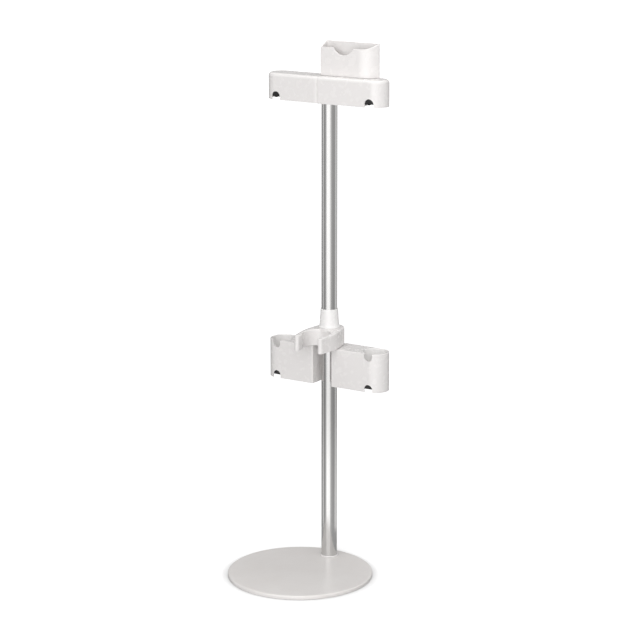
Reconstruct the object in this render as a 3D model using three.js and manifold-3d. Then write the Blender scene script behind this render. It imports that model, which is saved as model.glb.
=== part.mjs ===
// Phone charging kiosk: a floor stand with a disc base, a steel pole, a sliding carriage that carries
// a fork and two pods, and a charging head with a pocket. Millimetres, +Z up, front towards -Y.
// Origin: centre of the base disc on the floor. Everything on the pole is placed from the pole's axis.
import * as THREE from 'three';
import { mergeVertices } from 'three/addons/utils/BufferGeometryUtils.js';
import Module from 'manifold-3d';

const wasm = await Module();
wasm.setup();

// ---- driving dimensions ----
const GAP = 0.3;

const BASE_R = 174.2;
const BASE_UNDERSIDE = 0.8;
const BASE_TOP = 10;
const BASE_ROUND = 4;
const PAD_R = 16;
const PAD_T = 2;
const PAD_CIRCLE_R = 150;

const POLE_Y = 132.5;
const POLE_R = 19;
const POLE_WALL = 1.5;
const POLE_BORE_R = POLE_R - POLE_WALL;
const POLE_SEAM_Z = 600;
const POLE_TOP_Z = 1171.5;
const SPIGOT_HALF = 55;
const PLUG_TOP_Z = 30;
const INLET_Z = 46;
const BOLT_R = 4;
const WASHER_R = 11;
const COUNTERBORE_Z = 7.3;

const BUSH_R = 22;
const BUSH_FLANGE_R = 25;
const BUSH_BOTTOM_Z = 542.5;
const BUSH_TOP_Z = 612;
const HUB_BOTTOM_Z = 546;
const HUB_SEAT_Z = 588.6;
const HUB_R = 36.3;
const FORK_TIP_TOP_Z = 583;
const FORK_REAR_TOP_Z = 588.4;
const FORK_TIP_X = 32.7;
const FORK_TIP_R = 6.5;
const FORK_TIP_Y = -99;
const FORK_ROUND = 2;
const FORK_WALL = 2.6;
const CRADLE_R = 34;
const CRADLE_Y = -59;
const COLLAR_TOP_Z = 634;

const POD_BOTTOM_Z = 450.8;
const POD_TOP_Z = 545;
const POD_INNER_X = 25.8;
const POD_END_X = 129;
const POD_END_R = 33.5;
const POD_Y = -1;
const POD_WALL = 2.4;
const WELL_R = 29.6;
const WELL_FLOOR_Z = 480;
const LIP_R = 31.9;
const NOTCH_HALF = 10.5;
const NOTCH_BOTTOM_Z = 526.7;
const POD_ARCH_TOP_Z = 469.5;
const POD_SLEEVE_RISE = 8;
const YOKE_BOTTOM_Z = 470;
const YOKE_BACK_Y = 30;
const HUB_SCREW_X = 17;
const HUB_SCREW_Y = 24;
const POD_SCREW_Y = 12;
const POD_SCREW_ZS = [480, 515];

const HEAD_BOTTOM_Z = 1130.5;
const HEAD_TOP_Z = 1193.4;
const HEAD_LEFT_X = -130.5;
const HEAD_RIGHT_X = 128.3;
const HEAD_END_Y = -3.8;
const HEAD_END_R = 31.5;
const HEAD_SEAM_X = -12;
const HEAD_SEAM_FRONT_Y = -38;
const HEAD_WALL = 2.6;
const HEAD_ROUND = 8;
const HEAD_ARCH_X = 127.8;
const HEAD_ARCH_HALF = 11.5;
const HEAD_ARCH_TOP_Z = 1150.5;
const HEAD_SLEEVE_RISE = 7.5;
const COVER_Z = 1131.5;
const COVER_TOP_Z = 1133.5;
const CLAMP_Z = 1134;
const CLAMP_R = 23.8;
const CHASSIS_Z = 1172;
const CHASSIS_T = 3;
const GRUB_Z = 1150;
const BOARD_Z = 1158;
const BOARD_T = 1.6;
const BOARD_X = [38, 96];
const BOARD_Y = [-24, 16];

const POCKET_LEFT_X = -20;
const POCKET_END_X = 83;
const POCKET_END_R = 46;
const POCKET_CORNER_R = 4;
const POCKET_Y = [-11, 21];
const POCKET_WALL = 3;
const POCKET_FRONT_Z = 1260;
const POCKET_BACK_Z = 1273;
const SCOOP_X = 43.5;
const SCOOP_R = 30;
const SCOOP_BOTTOM_Z = 1243.5;
const PEG_XS = [8, 102];
const PEG_Y = 5;
const PEG_R = 4;

// ---- materials ----
const look = (color, roughness, metalness = 0) =>
  new THREE.MeshStandardMaterial({ color, roughness, metalness });
const whitePlastic = look(0xe9e6e3, 0.3);
const basePaint = look(0xd6d1cc, 0.35, 0.1);
const brushedSteel = look(0xc9c8c6, 0.22, 1);
const zincSteel = look(0xb8b9ba, 0.35, 1);
const blackPlastic = look(0x1c1b1b, 0.45);
const blackRubber = look(0x222222, 0.85);
const boardGreen = look(0x1f5a38, 0.5);
const greyFelt = look(0x8d8c8a, 0.95);

// ---- solids ----
function toSolid(geometry) {
  const bare = geometry.clone();
  bare.deleteAttribute('normal');
  bare.deleteAttribute('uv');
  const merged = mergeVertices(bare, 1e-4);
  const corners = merged.index.array;
  const kept = [];
  for (let i = 0; i < corners.length; i += 3) {
    const [a, b, c] = [corners[i], corners[i + 1], corners[i + 2]];
    if (a !== b && b !== c && c !== a) kept.push(a, b, c);
  }
  const vertProperties = new Float32Array(merged.attributes.position.array);
  return new wasm.Manifold(new wasm.Mesh({ numProp: 3, vertProperties, triVerts: Uint32Array.from(kept) }));
}

function toGeometry(solid) {
  const mesh = solid.getMesh();
  const geometry = new THREE.BufferGeometry();
  geometry.setAttribute('position', new THREE.BufferAttribute(mesh.vertProperties, 3));
  geometry.setIndex(new THREE.BufferAttribute(mesh.triVerts, 1));
  geometry.computeVertexNormals();
  return geometry;
}

function addPiece(parent, name, solid, material) {
  const mesh = new THREE.Mesh(toGeometry(solid), material);
  mesh.name = name;
  parent.add(mesh);
}

// A closed profile of [radius, z] pairs, counter-clockwise, turned about a vertical axis at x, y.
function turned(profile, segments = 32, x = 0, y = 0) {
  const points = profile.map(([radius, z]) => new THREE.Vector2(radius, z));
  points.push(points[0].clone());
  return toSolid(new THREE.LatheGeometry(points, segments).rotateX(Math.PI / 2).translate(x, y, 0));
}

function tube(inner, outer, z0, z1, segments = 32, x = 0, y = 0) {
  return turned([[inner, z0], [outer, z0], [outer, z1], [inner, z1]], segments, x, y);
}

function rod(radius, z0, z1, x = 0, y = 0, segments = 24) {
  const geometry = new THREE.CylinderGeometry(radius, radius, z1 - z0, segments);
  return toSolid(geometry.rotateX(Math.PI / 2).translate(x, y, (z0 + z1) / 2));
}

function rodAlongY(radius, x, z, y0, y1, segments = 24) {
  const geometry = new THREE.CylinderGeometry(radius, radius, y1 - y0, segments);
  return toSolid(geometry.translate(x, (y0 + y1) / 2, z));
}

function rodAlongX(radius, y, z, x0, x1, segments = 12) {
  const length = Math.abs(x1 - x0);
  const geometry = new THREE.CylinderGeometry(radius, radius, length, segments);
  return toSolid(geometry.rotateZ(Math.PI / 2).translate((x0 + x1) / 2, y, z));
}

function block(x0, x1, y0, y1, z0, z1) {
  const geometry = new THREE.BoxGeometry(Math.abs(x1 - x0), y1 - y0, z1 - z0);
  return toSolid(geometry.translate((x0 + x1) / 2, (y0 + y1) / 2, (z0 + z1) / 2));
}

function arc(x, y, radius, fromDegrees, toDegrees, steps) {
  const points = [];
  for (let i = 0; i <= steps; i += 1) {
    const angle = THREE.MathUtils.degToRad(fromDegrees + (toDegrees - fromDegrees) * i / steps);
    points.push(new THREE.Vector2(x + radius * Math.cos(angle), y + radius * Math.sin(angle)));
  }
  return points;
}

// side is 1 for the right-hand piece and -1 for its mirror image.
function outline(points, side = 1) {
  return new THREE.Shape(points.map((p) => new THREE.Vector2(side * p.x, p.y)));
}

function prism(shape, z0, z1, inset = 0) {
  const settings = { depth: z1 - z0, bevelEnabled: inset > 0, bevelThickness: 0, bevelSize: 0 };
  const geometry = new THREE.ExtrudeGeometry(shape, { ...settings, bevelOffset: -inset, bevelSegments: 0 });
  return toSolid(geometry.translate(0, 0, z0));
}

// A prism whose upper edge is rounded. The lower rounding that the extrusion also makes is cut away.
function roundedGeometry(shape, z0, z1, round, steps) {
  const settings = { bevelThickness: round, bevelSize: round, bevelOffset: -round, bevelSegments: steps };
  const geometry = new THREE.ExtrudeGeometry(shape, { depth: z1 - z0 - round + 1, ...settings });
  return geometry.translate(0, 0, z0 - 1);
}

function trimBelow(solid, z) {
  return solid.subtract(block(-400, 400, -400, 400, z - 100, z));
}

function cable(points, radius, stepLength) {
  const curve = new THREE.CatmullRomCurve3(points.map((p) => new THREE.Vector3(...p)), false, 'centripetal');
  const section = new THREE.Shape(arc(0, 0, radius, 0, 315, 7));
  const steps = Math.round(curve.getLength() / stepLength);
  return toSolid(new THREE.ExtrudeGeometry(section, { steps, extrudePath: curve, bevelEnabled: false }));
}

function joined(solids) {
  return solids.reduce((whole, next) => whole.add(next));
}

// A U-shaped opening through a front wall: open downward for an arch, upward for a rim notch.
function archCut(x, half, topZ, bottomZ, y0, y1) {
  const centreZ = topZ - half;
  return rodAlongY(half, x, centreZ, y0, y1).add(block(x - half, x + half, y0, y1, bottomZ - 5, centreZ));
}

function notchCut(x, half, bottomZ, topZ, y0, y1) {
  const centreZ = bottomZ + half;
  return rodAlongY(half, x, centreZ, y0, y1).add(block(x - half, x + half, y0, y1, centreZ, topZ + 5));
}

// ---- base and pole ----
const PAD_DEGREES = [45, 135, 225, 315];

function padPlace(degrees) {
  const angle = THREE.MathUtils.degToRad(degrees);
  return [PAD_CIRCLE_R * Math.cos(angle), PAD_CIRCLE_R * Math.sin(angle)];
}

function basePlate() {
  const edge = arc(BASE_R - BASE_ROUND, BASE_TOP - BASE_ROUND, BASE_ROUND, 0, 90, 3).map((p) => [p.x, p.y]);
  const profile = [[0, BASE_UNDERSIDE], [BASE_R - 1, BASE_UNDERSIDE], [BASE_R, BASE_UNDERSIDE + 1], ...edge];
  const disc = turned([...profile, [0, BASE_TOP]], 64);
  const hole = rod(BOLT_R + 0.4, 0, BASE_TOP + 1, 0, POLE_Y, 20);
  const counterbore = rod(WASHER_R + 1, 0, COUNTERBORE_Z, 0, POLE_Y, 28);
  const recesses = PAD_DEGREES.map((degrees) => rod(PAD_R + GAP, 0, PAD_T + GAP, ...padPlace(degrees)));
  return disc.subtract(hole).subtract(counterbore).subtract(joined(recesses));
}

function poleFootRing() {
  const z = BASE_TOP + GAP;
  return turned([[POLE_R + GAP, z], [22, z], [22, z + 1.8], [20.6, z + 3.2], [POLE_R + GAP, z + 3.2]]);
}

function baseBolt() {
  const head = rod(6.5, 2.1, 5.5, 0, 0, 20).subtract(rod(2.6, 1, 4, 0, 0, 6));
  return head.add(rod(BOLT_R - 0.3, 5, PLUG_TOP_Z - 3, 0, 0, 16));
}

function bottomPlug() {
  return tube(BOLT_R, POLE_BORE_R - GAP, BASE_TOP + GAP, PLUG_TOP_Z, 32);
}

function lowerTube() {
  const inletHole = rodAlongY(6.2, 0, INLET_Z, POLE_R - 6, POLE_R + 6, 20);
  return tube(POLE_BORE_R, POLE_R, BASE_TOP + GAP, POLE_SEAM_Z - 0.15).subtract(inletHole);
}

function powerInlet() {
  const barrel = rodAlongY(5.9, 0, INLET_Z, 3, POLE_R + 0.6, 20);
  const flange = rodAlongY(8, 0, INLET_Z, POLE_R + 0.4, POLE_R + 3.2, 24);
  const socket = rodAlongY(2.8, 0, INLET_Z, 15, POLE_R + 5, 16);
  return barrel.add(flange).subtract(socket).add(rodAlongY(1.1, 0, INLET_Z, 14.5, POLE_R + 2, 10));
}

function poleHarness() {
  const route = [[0, 8, INLET_Z + 6.3], [0, 8, INLET_Z + 26], [0, 4.5, 110], [0, 4, 400], [0, 4, 800],
    [0, 4, 1155], [0, 4, 1170], [6, 4, 1178], [24, 4, 1179], [42, 4, 1178], [48, 4, 1172],
    [48, 4, BOARD_Z + 8.4]];
  return cable(route, 2.2, 18);
}

// ---- carriage ----
function carriageBush() {
  const flangeTop = HUB_BOTTOM_Z - 0.4;
  const body = turned([[POLE_R + GAP, BUSH_BOTTOM_Z], [BUSH_FLANGE_R, BUSH_BOTTOM_Z],
    [BUSH_FLANGE_R, flangeTop], [BUSH_R, flangeTop], [BUSH_R, HUB_SEAT_Z - 0.2],
    [20.9, HUB_SEAT_Z + 0.9], [19.9, BUSH_TOP_Z], [POLE_R + GAP, BUSH_TOP_Z]]);
  const slots = [0, 90].map((degrees) => {
    const slot = new THREE.BoxGeometry(60, 1.6, 22).translate(0, 0, BUSH_TOP_Z - 9);
    return toSolid(slot.rotateZ(THREE.MathUtils.degToRad(45 + degrees)));
  });
  return body.subtract(joined(slots));
}

function clampCollar() {
  const z = HUB_SEAT_Z + GAP;
  return turned([[BUSH_R + 0.2, z], [26, z], [25.6, z + 1.7], [23.6, z + 4.3], [20.9, COLLAR_TOP_Z - 0.8],
    [20.3, COLLAR_TOP_Z], [POLE_R + GAP, COLLAR_TOP_Z], [POLE_R + GAP, COLLAR_TOP_Z - 5],
    [20.3, BUSH_TOP_Z + 1], [21.9, z + 3.1]]);
}

function forkOutline() {
  const bulge = [[HUB_R, 0], [39.8, -13], [43.6, -38], [43.6, -55], [41.6, -71], [39.8, -85]];
  const cheek = new THREE.CatmullRomCurve3(bulge.map(([x, y]) => new THREE.Vector3(x, y, 0))).getPoints(40)
    .map((p) => new THREE.Vector2(p.x, p.y));
  const tip = arc(FORK_TIP_X, FORK_TIP_Y + FORK_TIP_R, FORK_TIP_R, 0, -180, 8);
  const mouth = THREE.MathUtils.radToDeg(Math.acos((FORK_TIP_X - FORK_TIP_R) / CRADLE_R));
  const cradle = arc(0, CRADLE_Y, CRADLE_R, -mouth, 90, 10);
  const right = [...arc(0, 0, HUB_R, 90, 6, 9), ...cheek, ...tip, ...cradle];
  const left = right.slice(1, -1).reverse().map((p) => new THREE.Vector2(-p.x, p.y));
  return new THREE.Shape([...right, ...left]);
}

// The fork's top falls gently from the hub to the tips.
function slopeTop(geometry) {
  const position = geometry.attributes.position;
  const fall = (FORK_REAR_TOP_Z - FORK_TIP_TOP_Z) / (HUB_R - FORK_TIP_Y);
  for (let i = 0; i < position.count; i += 1) {
    const topZ = FORK_REAR_TOP_Z - fall * (HUB_R - position.getY(i));
    const scale = (topZ - HUB_BOTTOM_Z) / (FORK_REAR_TOP_Z - HUB_BOTTOM_Z);
    position.setZ(i, HUB_BOTTOM_Z + (position.getZ(i) - HUB_BOTTOM_Z) * scale);
  }
  return geometry;
}

// Hollow from below round the bore, with two bosses left for the yoke's screws.
function forkBracket() {
  const outline3d = slopeTop(roundedGeometry(forkOutline(), HUB_BOTTOM_Z, FORK_REAR_TOP_Z, FORK_ROUND, 2));
  const cradle = rod(CRADLE_R + FORK_WALL, 500, 600, 0, CRADLE_Y, 40);
  const bosses = [-1, 1].map((side) => rod(4.5, 500, 600, side * HUB_SCREW_X, HUB_SCREW_Y, 16));
  const ceilingZ = FORK_TIP_TOP_Z - FORK_WALL;
  const hollow = tube(BUSH_R + GAP + FORK_WALL, HUB_R - FORK_WALL, HUB_BOTTOM_Z - 1, ceilingZ)
    .subtract(cradle).subtract(joined(bosses));
  const seat = rod(27, FORK_TIP_TOP_Z - 3, HUB_SEAT_Z, 0, 0, 32);
  const bore = rod(BUSH_R + GAP, HUB_BOTTOM_Z - 1, HUB_SEAT_Z + 1, 0, 0, 32);
  const pilots = [-1, 1].map((side) =>
    rod(1.9, HUB_BOTTOM_Z - 1, 566, side * HUB_SCREW_X, HUB_SCREW_Y, 12));
  return trimBelow(toSolid(outline3d), HUB_BOTTOM_Z).subtract(hollow).add(seat).subtract(bore)
    .subtract(joined(pilots));
}

function podYoke() {
  const body = block(-25.4, 25.4, 6, YOKE_BACK_Y, YOKE_BOTTOM_Z, HUB_BOTTOM_Z - GAP);
  const guide = rod(POLE_R + 0.8, YOKE_BOTTOM_Z - 1, HUB_BOTTOM_Z, 0, 0, 32);
  const flangeRoom = rod(BUSH_FLANGE_R + 0.6, 541.5, HUB_BOTTOM_Z, 0, 0, 32);
  const shanks = [-1, 1].map((side) => rod(2.3, 500, HUB_BOTTOM_Z, side * HUB_SCREW_X, HUB_SCREW_Y, 12));
  const wells = [-1, 1].map((side) => rod(4, 460, 530, side * HUB_SCREW_X, HUB_SCREW_Y, 16));
  const sides = [-1, 1].flatMap((side) =>
    POD_SCREW_ZS.map((z) => rodAlongX(1.9, POD_SCREW_Y, z, side * 26, side * 18.6)));
  return body.subtract(guide).subtract(flangeRoom).subtract(joined([...shanks, ...wells, ...sides]));
}

function hubScrew(side) {
  const x = side * HUB_SCREW_X;
  return rod(3.6, 526, 529.7, x, HUB_SCREW_Y, 14).add(rod(1.6, 529, 563, x, HUB_SCREW_Y, 10));
}

function podScrew(side, z) {
  const x0 = side * (POD_INNER_X + POD_WALL + GAP);
  const head = rodAlongX(3.4, POD_SCREW_Y, z, x0, x0 + side * 2.4, 14);
  return head.add(rodAlongX(1.6, POD_SCREW_Y, z, side * 20.8, x0 + side));
}

// ---- pods ----
function podOutline(side) {
  const frontY = POD_Y - POD_END_R;
  const backY = POD_Y + POD_END_R;
  const corner = 3;
  return outline([...arc(POD_INNER_X + corner, frontY + corner, corner, 180, 270, 3),
    ...arc(POD_END_X, POD_Y, POD_END_R, -90, 90, 16),
    ...arc(POD_INNER_X + corner, backY - corner, corner, 90, 180, 3)], side);
}

function podShell(side) {
  const shape = podOutline(side);
  const x = side * POD_END_X;
  const outer = trimBelow(toSolid(roundedGeometry(shape, POD_BOTTOM_Z, POD_TOP_Z, 1.5, 2)), POD_BOTTOM_Z);
  const hollow = prism(shape, POD_BOTTOM_Z - 1, POD_TOP_Z - POD_WALL, POD_WALL);
  const wellHole = rod(POD_END_R - POD_WALL, 500, POD_TOP_Z + 1, x, POD_Y, 36);
  const lipSeat = rod(LIP_R + GAP, POD_TOP_Z - 2, POD_TOP_Z + 1, x, POD_Y, 36);
  const notch = notchCut(x, NOTCH_HALF, NOTCH_BOTTOM_Z, POD_TOP_Z, -45, -20);
  const arch = archCut(x, NOTCH_HALF, POD_ARCH_TOP_Z, POD_BOTTOM_Z, -45, -29.5);
  const holes = POD_SCREW_ZS.map((z) => rodAlongX(1.9, POD_SCREW_Y, z, side * 20, side * 32));
  return outer.subtract(hollow).subtract(wellHole).subtract(lipSeat).subtract(notch).subtract(arch)
    .subtract(joined(holes));
}

function wellCup(side) {
  const x = side * POD_END_X;
  const wallR = POD_END_R - POD_WALL - GAP;
  const [lipZ, floorTop] = [POD_TOP_Z - 1.7, WELL_FLOOR_Z + 2];
  const cup = turned([[0, WELL_FLOOR_Z], [wallR, WELL_FLOOR_Z], [wallR, lipZ], [LIP_R, lipZ],
    [LIP_R, POD_TOP_Z], [WELL_R, POD_TOP_Z], [WELL_R - 0.3, floorTop], [0, floorTop]], 44, x, POD_Y);
  return cup.subtract(notchCut(x, NOTCH_HALF, NOTCH_BOTTOM_Z, POD_TOP_Z, -45, -20));
}

// Black sleeve that fills the upper part of an arch from behind; a lead leaves below it.
function outletSleeve(shape, wall, x, bottomZ, height, backY) {
  const room = prism(shape, bottomZ, bottomZ + height, wall + GAP);
  return room.intersect(block(x - 14, x + 14, -60, backY, bottomZ - 1, bottomZ + height + 1));
}

function cableSleeve(side) {
  return outletSleeve(podOutline(side), POD_WALL, side * POD_END_X, POD_BOTTOM_Z + POD_SLEEVE_RISE, 15, -14);
}

// ---- head ----
function headOutline() {
  const leftEnd = arc(HEAD_LEFT_X, HEAD_END_Y, HEAD_END_R, 90, 270, 14);
  const rightEnd = arc(HEAD_RIGHT_X, HEAD_END_Y, HEAD_END_R, -90, 90, 14);
  return outline([...leftEnd, new THREE.Vector2(HEAD_SEAM_X, HEAD_SEAM_FRONT_Y), ...rightEnd]);
}

const SHELL_SCREWS = [[24, 16], [106, 0]];
const COVER_POSTS = [[32, -27], [101, 11]];
const SPACERS = [[42, -20], [90, 12]];
const bothSides = (places) => places.flatMap(([x, y]) => [[x, y], [-x, y]]);

function headShell(side) {
  const shape = headOutline();
  const x = side * HEAD_ARCH_X;
  const outer = toSolid(roundedGeometry(shape, HEAD_BOTTOM_Z, HEAD_TOP_Z, HEAD_ROUND, 3));
  const hollow = prism(shape, HEAD_BOTTOM_Z - 5, HEAD_TOP_Z - HEAD_ROUND, HEAD_WALL);
  const roof = toSolid(roundedGeometry(shape, HEAD_TOP_Z - 20, HEAD_TOP_Z - HEAD_WALL, HEAD_ROUND, 3));
  const hollowTop = roof.intersect(prism(shape, HEAD_TOP_Z - 30, HEAD_TOP_Z, HEAD_WALL));
  const arch = archCut(x, HEAD_ARCH_HALF, HEAD_ARCH_TOP_Z, HEAD_BOTTOM_Z, -60, -29);
  const keep = side > 0 ? block(HEAD_SEAM_X + 0.2, 300, -100, 100, HEAD_BOTTOM_Z, 1300)
    : block(-300, HEAD_SEAM_X - 0.2, -100, 100, HEAD_BOTTOM_Z, 1300);
  const chassisTop = CHASSIS_Z + CHASSIS_T + GAP;
  const bosses = SHELL_SCREWS.map(([bx, by]) => rod(4, chassisTop, HEAD_TOP_Z - 1, side * bx, by, 14));
  const pilots = SHELL_SCREWS.map(([bx, by]) => rod(1.9, chassisTop - 1, HEAD_TOP_Z - 5, side * bx, by, 10));
  const shell = outer.subtract(hollow).subtract(hollowTop).subtract(arch).add(joined(bosses))
    .subtract(joined(pilots)).intersect(keep);
  if (side < 0) return shell;
  return shell.subtract(joined(PEG_XS.map((px) => rod(PEG_R + 0.4, 1180, 1200, px, PEG_Y, 20))));
}

function headChassis() {
  const top = CHASSIS_Z + CHASSIS_T;
  const plate = prism(headOutline(), CHASSIS_Z, top, HEAD_WALL + 1.4).intersect(
    block(-112, 112, -60, 60, CHASSIS_Z - 1, top + 1));
  const clamp = rod(CLAMP_R, CLAMP_Z, CHASSIS_Z + 1, 0, 0, 32);
  const grubBlocks = block(-31, 31, -6, 6, GRUB_Z - 8, GRUB_Z + 8);
  const posts = bothSides(COVER_POSTS).map(([x, y]) => rod(4, COVER_TOP_Z + GAP, CHASSIS_Z + 1, x, y, 14));
  const poleRoom = rod(POLE_R + GAP, COVER_Z, POLE_TOP_Z + GAP, 0, 0, 32);
  const leadSlot = block(-6, 50, 0.4, 7.6, CHASSIS_Z - 1, top + 1);
  const slots = [-48, 48].map((x) => block(x - 7, x + 7, -13, 9, CHASSIS_Z - 1, top + 1));
  const screwHoles = bothSides(SHELL_SCREWS).map(([x, y]) => rod(1.9, CHASSIS_Z - 1, top + 1, x, y, 10));
  const postHoles = bothSides(COVER_POSTS).map(([x, y]) => rod(1.6, COVER_TOP_Z, COVER_TOP_Z + 17, x, y, 10));
  const grubHole = rodAlongX(2.7, 0, GRUB_Z, -40, 40, 16);
  return plate.add(clamp).add(grubBlocks).add(joined(posts)).subtract(poleRoom).subtract(leadSlot)
    .subtract(grubHole).subtract(joined([...slots, ...screwHoles, ...postHoles]));
}

function grubScrew(side) {
  const screw = rodAlongX(2.4, 0, GRUB_Z, side * (POLE_R + GAP), side * 29, 16);
  return screw.subtract(rodAlongX(1.3, 0, GRUB_Z, side * 26, side * 31, 6));
}

function headScrew(x, y) {
  const head = rod(3.3, CHASSIS_Z - 2.7, CHASSIS_Z - GAP, x, y, 12);
  return head.add(rod(1.5, CHASSIS_Z - 1, HEAD_TOP_Z - 7, x, y, 8));
}

function bottomCover() {
  const [below, above] = [COVER_Z - 1, COVER_TOP_Z + 1];
  const plate = prism(headOutline(), COVER_Z, COVER_TOP_Z, HEAD_WALL + 0.4).intersect(
    block(-108, 108, -60, 60, below, above));
  const holes = bothSides(COVER_POSTS).map(([x, y]) => rod(1.8, below, above, x, y, 10));
  return plate.subtract(rod(POLE_R + 0.6, below, above, 0, 0, 32)).subtract(joined(holes));
}

function coverScrew(x, y) {
  const headTop = COVER_Z - GAP;
  return rod(3.2, headTop - 1.8, headTop, x, y, 12).add(rod(1.4, headTop - 0.2, headTop + 15.8, x, y, 8));
}

// The head's sleeve also has a short blind nose that the lead is clipped to.
function headSleeve(side) {
  const x = side * HEAD_ARCH_X;
  const bottomZ = HEAD_BOTTOM_Z + HEAD_SLEEVE_RISE;
  const nose = rodAlongY(3.8, x, bottomZ + 2, -34.4, -28, 20).subtract(
    rodAlongY(2.2, x, bottomZ + 2, -40, -31, 16));
  return outletSleeve(headOutline(), HEAD_WALL, x, bottomZ, 18, -12).add(nose);
}

function chargerBoard(side) {
  const at = (x0, x1, y0, y1, z0, z1) => block(side * x0, side * x1, y0, y1, z0, z1);
  const topZ = BOARD_Z + BOARD_T;
  const board = at(BOARD_X[0], BOARD_X[1], BOARD_Y[0], BOARD_Y[1], BOARD_Z, topZ);
  const coil = at(44, 62, -18, -2, BOARD_Z - 9, BOARD_Z + 0.5);
  const chip = at(68, 76, -12, -4, BOARD_Z - 2, BOARD_Z + 0.5);
  const feedPlug = at(45, 51, 1, 8, topZ - 0.5, topZ + 6);
  const linkPlug = at(45, 51, -11, -5, topZ - 0.5, topZ + 6);
  const capacitors = [70, 82].map((x) => rod(4, BOARD_Z - 11, BOARD_Z + 0.5, side * x, 8, 16));
  return joined([board, coil, chip, feedPlug, linkPlug, ...capacitors]);
}

function boardSpacer(x, y) {
  return rod(2.6, BOARD_Z + BOARD_T + GAP, CHASSIS_Z - GAP, x, y, 12);
}

function usbSocket(side) {
  const shell = block(side * 90, side * 105, -13, 1, BOARD_Z - 7.5, BOARD_Z - GAP);
  const mouth = block(side * 93, side * 106, -12, 0, BOARD_Z - 6.7, BOARD_Z - 1.1);
  const tongue = block(side * 92, side * 103, -11, -1, BOARD_Z - 3.4, BOARD_Z - 1.7);
  return shell.subtract(mouth).add(tongue);
}

function linkLead() {
  const half = [[48, -8, BOARD_Z + 8.1], [48, -8, 1172], [43, -8, 1179], [28, -8, 1180]];
  const route = [...half, ...half.slice().reverse().map(([x, y, z]) => [-x, y, z])];
  return cable(route, 1.6, 9);
}

// ---- pocket ----
// Square at the left; the right end is one wide curve from the front wall to the back corner.
function pocketOutline() {
  const [y0, y1] = POCKET_Y;
  const [left, corner] = [POCKET_LEFT_X + POCKET_CORNER_R, POCKET_CORNER_R];
  const endY = y0 + POCKET_END_R;
  const rise = Math.asin((y1 - corner - endY) / (POCKET_END_R - corner));
  const backX = POCKET_END_X + (POCKET_END_R - corner) * Math.cos(rise);
  const turn = THREE.MathUtils.radToDeg(rise);
  return outline([...arc(left, y0 + corner, corner, 180, 270, 4),
    ...arc(POCKET_END_X, endY, POCKET_END_R, 270, 360 + turn, 16),
    ...arc(backX, y1 - corner, corner, turn, 90, 5), ...arc(left, y1 - corner, corner, 90, 180, 4)]);
}

// The rim is low at the front and sweeps up along the side walls to the back wall.
function rimCut() {
  const sweep = new THREE.CatmullRomCurve3([[-12, 0], [-6, 0.6], [2, 5], [10, 9.4], [18, 12.6], [23, 13]]
    .map(([y, rise]) => new THREE.Vector3(y, POCKET_FRONT_Z + rise, 0))).getPoints(14);
  const profile = [...sweep.map((p) => new THREE.Vector2(p.x, p.y)), new THREE.Vector2(23, 1300),
    new THREE.Vector2(-12, 1300)];
  const geometry = new THREE.ExtrudeGeometry(new THREE.Shape(profile), { depth: 200, bevelEnabled: false });
  geometry.rotateX(Math.PI / 2).rotateZ(Math.PI / 2);
  return toSolid(geometry.translate(-50, 0, 0));
}

function pocketShell() {
  const shape = pocketOutline();
  const floorZ = HEAD_TOP_Z + GAP;
  const body = prism(shape, floorZ, POCKET_BACK_Z);
  const room = prism(shape, floorZ + POCKET_WALL, POCKET_BACK_Z + 1, POCKET_WALL);
  const scoop = rodAlongY(SCOOP_R, SCOOP_X, SCOOP_BOTTOM_Z + SCOOP_R, POCKET_Y[0] - 2, POCKET_Y[0] + 6, 48);
  const pegs = PEG_XS.map((x) => rod(PEG_R, floorZ - 10, floorZ + 1, x, PEG_Y, 20));
  return body.subtract(room).subtract(rimCut()).subtract(scoop).add(joined(pegs));
}

function pocketPad() {
  const floorZ = HEAD_TOP_Z + GAP + POCKET_WALL + GAP;
  return prism(pocketOutline(), floorZ, floorZ + 1.5, POCKET_WALL + 0.6);
}

// ---- assembly ----
const kiosk = new THREE.Group();
const onPole = new THREE.Group();
onPole.position.set(0, POLE_Y, 0);
kiosk.add(onPole);

addPiece(kiosk, 'base_plate', basePlate(), basePaint);
PAD_DEGREES.forEach((degrees, i) =>
  addPiece(kiosk, `anti_slip_pad_${i + 1}`, rod(PAD_R, 0, PAD_T, ...padPlace(degrees)), blackRubber));
addPiece(onPole, 'pole_foot_ring', poleFootRing(), whitePlastic);
addPiece(onPole, 'base_bolt', baseBolt(), zincSteel);
addPiece(onPole, 'base_washer', tube(BOLT_R + 0.4, WASHER_R, 5.8, 7, 24), zincSteel);
addPiece(onPole, 'pole_bottom_plug', bottomPlug(), zincSteel);
addPiece(onPole, 'pole_lower_tube', lowerTube(), brushedSteel);
addPiece(onPole, 'pole_upper_tube', tube(POLE_BORE_R, POLE_R, POLE_SEAM_Z + 0.15, POLE_TOP_Z), brushedSteel);
addPiece(onPole, 'pole_joint_spigot',
  tube(15, POLE_BORE_R - GAP, POLE_SEAM_Z - SPIGOT_HALF, POLE_SEAM_Z + SPIGOT_HALF, 32), zincSteel);
addPiece(onPole, 'power_inlet', powerInlet(), blackPlastic);
addPiece(onPole, 'pole_harness', poleHarness(), blackRubber);

addPiece(onPole, 'carriage_bush', carriageBush(), blackPlastic);
addPiece(onPole, 'clamp_collar', clampCollar(), whitePlastic);
addPiece(onPole, 'fork_bracket', forkBracket(), whitePlastic);
addPiece(onPole, 'pod_yoke', podYoke(), whitePlastic);

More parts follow.
